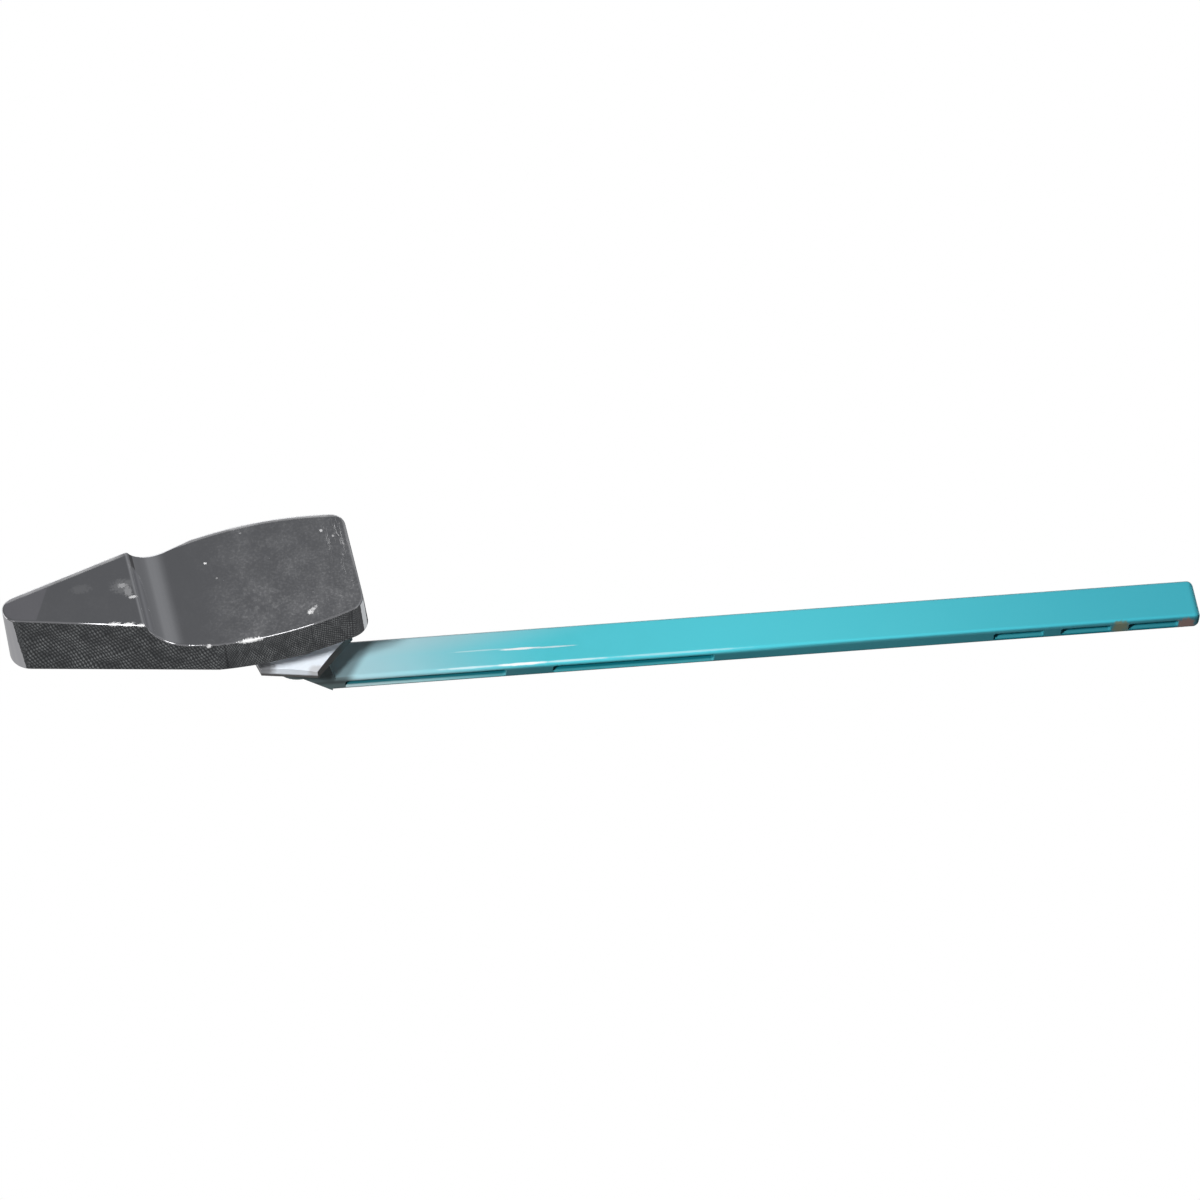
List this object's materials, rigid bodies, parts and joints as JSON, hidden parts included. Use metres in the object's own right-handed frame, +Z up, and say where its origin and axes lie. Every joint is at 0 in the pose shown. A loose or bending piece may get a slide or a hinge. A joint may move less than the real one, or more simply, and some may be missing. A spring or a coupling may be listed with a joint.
{
  "type": "cistern lever",
  "caption": "Cistern trip lever: tapered plated handle outside the tank wall, flanged bushing and hexagon lock nut clamping the wall, and a long slotted plastic arm that lifts the flush chain.",
  "frame": {"origin": "on the pivot axis of the lever, at the outer face of the tank wall where the bushing's flange seats", "axes": "+Y along the pivot axis into the tank, +X along the level arm away from the handle, +Z up"},
  "size_m": [0.2626, 0.0868, 0.0338],
  "materials": {
    "chrome_plated_plastic": "bright chrome plating on moulded plastic",
    "white_plastic": "plain white moulded plastic",
    "teal_plastic": "satin teal moulded plastic, lightly stained at the far end",
    "screw_steel": "plain stainless steel"
  },
  "bodies": {
    "mount": {"bushing": "white_plastic"},
    "nut": {"lock_nut": "white_plastic"},
    "lever": {"handle": "chrome_plated_plastic", "arm": "teal_plastic", "screw": "screw_steel"}
  },
  "joints": [
    {"name": "lever_pivot", "type": "hinge", "parent": "mount", "child": "lever", "pos_m": [0, 0, 0], "axis": [0, -1, 0], "range_deg": [0, 30]},
    {"name": "nut_travel", "type": "slide", "parent": "mount", "child": "nut", "axis": [0, 1, 0], "range_m": [-0.0053, 0.0052]}
  ]
}
